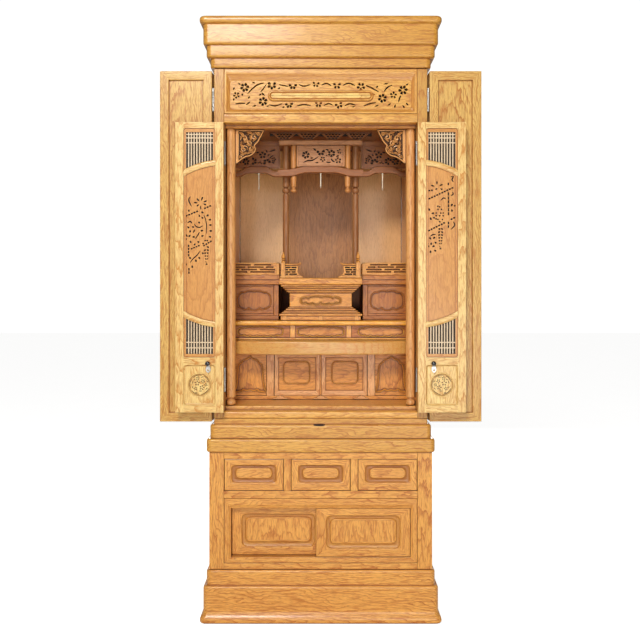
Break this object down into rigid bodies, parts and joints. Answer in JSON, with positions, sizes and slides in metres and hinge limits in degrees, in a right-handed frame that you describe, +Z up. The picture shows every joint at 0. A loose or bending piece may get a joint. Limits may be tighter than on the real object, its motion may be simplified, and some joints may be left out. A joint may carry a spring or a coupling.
{
  "type": "household altar cabinet",
  "caption": "Floor-standing wooden household altar cabinet with folding outer and latticed inner doors, an altar hall, drawers and sliding doors.",
  "frame": {"origin": "middle of the bounding box's underside, on the floor, with the doors open as shown", "axes": "+Z up; the front faces -Y; +X to the right of someone who looks at the front"},
  "size_m": [0.8724, 0.53, 1.627],
  "materials": {
    "case_wood": "honey oak with flame grain, satin lacquer",
    "door_wood": "pale honey oak, satin lacquer",
    "hall_wood": "darker oak inside the hall, satin lacquer",
    "carved_wood": "carved and pierced oak, satin lacquer",
    "knob_black": "glossy black"
  },
  "bodies": {
    "case": {"altar": "case_wood", "altar_rail_left": "case_wood", "altar_rail_right": "case_wood", "bracket_left": "carved_wood", "bracket_right": "carved_wood", "canopy_beam": "hall_wood", "canopy_frieze": "carved_wood", "centre_beam": "hall_wood", "centre_transom": "carved_wood", "column_left": "case_wood", "column_right": "case_wood", "crown": "case_wood", "desk_board": "case_wood", "hall_ceiling": "hall_wood", "hall_floor": "case_wood", "hanging_post_left": "hall_wood", "hanging_post_right": "hall_wood", "lintel": "case_wood", "lower_back": "case_wood", "lower_bay_front": "case_wood", "lower_bottom": "case_wood", "lower_face_frame": "case_wood", "lower_shelf": "case_wood", "lower_side_left": "case_wood", "lower_side_right": "case_wood", "plinth": "case_wood", "rear_post_left": "hall_wood", "rear_post_right": "hall_wood", "side_cabinet_left": "case_wood", "side_cabinet_right": "case_wood", "side_rail_left": "case_wood", "side_rail_right": "case_wood", "side_transom_left": "carved_wood", "side_transom_right": "carved_wood", "sliding_frame": "case_wood", "tier": "case_wood", "transom": "carved_wood", "upper_back": "hall_wood", "upper_base": "case_wood", "upper_post_left": "case_wood", "upper_post_right": "case_wood", "upper_side_left": "case_wood", "upper_side_right": "case_wood", "waist_board": "case_wood"},
    "outer_near_left": {"outer_leaf_left_near": "door_wood"},
    "outer_far_left": {"outer_leaf_left_far": "door_wood"},
    "outer_near_right": {"outer_leaf_right_near": "door_wood"},
    "outer_far_right": {"outer_leaf_right_far": "door_wood"},
    "inner_near_left": {"inner_leaf_left_near": "door_wood"},
    "inner_far_left": {"inner_leaf_left_far": "door_wood", "knob_left": "knob_black"},
    "inner_near_right": {"inner_leaf_right_near": "door_wood"},
    "inner_far_right": {"inner_leaf_right_far": "door_wood", "knob_right": "knob_black"},
    "drawer_left": {"drawer_left": "case_wood"},
    "drawer_centre": {"drawer_centre": "case_wood"},
    "drawer_right": {"drawer_right": "case_wood"},
    "sliding_left": {"sliding_door_left": "case_wood"},
    "sliding_right": {"sliding_door_right": "case_wood"}
  },
  "joints": [
    {"name": "outer_left", "type": "hinge", "parent": "case", "child": "outer_near_left", "pos_m": [-0.2917, -0.215, 1.0115], "axis": [0, 0, 1], "range_deg": [0, 180]},
    {"name": "outer_fold_left", "type": "hinge", "parent": "outer_near_left", "child": "outer_far_left", "pos_m": [-0.4382, -0.1895, 1.0115], "axis": [0, 0, 1], "range_deg": [0, 180]},
    {"name": "inner_left", "type": "hinge", "parent": "case", "child": "inner_near_left", "pos_m": [-0.26, -0.2085, 0.9535], "axis": [0, 0, 1], "range_deg": [0, 180]},
    {"name": "inner_fold_left", "type": "hinge", "parent": "inner_near_left", "child": "inner_far_left", "pos_m": [-0.38865, -0.2345, 0.9535], "axis": [0, 0, -1], "range_deg": [0, 180]},
    {"name": "outer_right", "type": "hinge", "parent": "case", "child": "outer_near_right", "pos_m": [0.2917, -0.215, 1.0115], "axis": [0, 0, -1], "range_deg": [0, 180]},
    {"name": "outer_fold_right", "type": "hinge", "parent": "outer_near_right", "child": "outer_far_right", "pos_m": [0.4382, -0.1895, 1.0115], "axis": [0, 0, -1], "range_deg": [0, 180]},
    {"name": "inner_right", "type": "hinge", "parent": "case", "child": "inner_near_right", "pos_m": [0.26, -0.2085, 0.9535], "axis": [0, 0, -1], "range_deg": [0, 180]},
    {"name": "inner_fold_right", "type": "hinge", "parent": "inner_near_right", "child": "inner_far_right", "pos_m": [0.38865, -0.2345, 0.9535], "axis": [0, 0, 1], "range_deg": [0, 180]},
    {"name": "drawer_left", "type": "slide", "parent": "case", "child": "drawer_left", "axis": [0, -1, 0], "range_m": [0, 0.24]},
    {"name": "drawer_centre", "type": "slide", "parent": "case", "child": "drawer_centre", "axis": [0, -1, 0], "range_m": [0, 0.24]},
    {"name": "drawer_right", "type": "slide", "parent": "case", "child": "drawer_right", "axis": [0, -1, 0], "range_m": [0, 0.24]},
    {"name": "sliding_left", "type": "slide", "parent": "case", "child": "sliding_left", "axis": [1, 0, 0], "range_m": [0, 0.23]},
    {"name": "sliding_right", "type": "slide", "parent": "case", "child": "sliding_right", "axis": [-1, 0, 0], "range_m": [0, 0.23]}
  ],
  "couplings": [
    {"joint": "inner_left", "follows": "outer_left", "ratio": 1},
    {"joint": "inner_fold_left", "follows": "outer_left", "ratio": 1},
    {"joint": "inner_right", "follows": "outer_right", "ratio": 1},
    {"joint": "inner_fold_right", "follows": "outer_right", "ratio": 1}
  ]
}
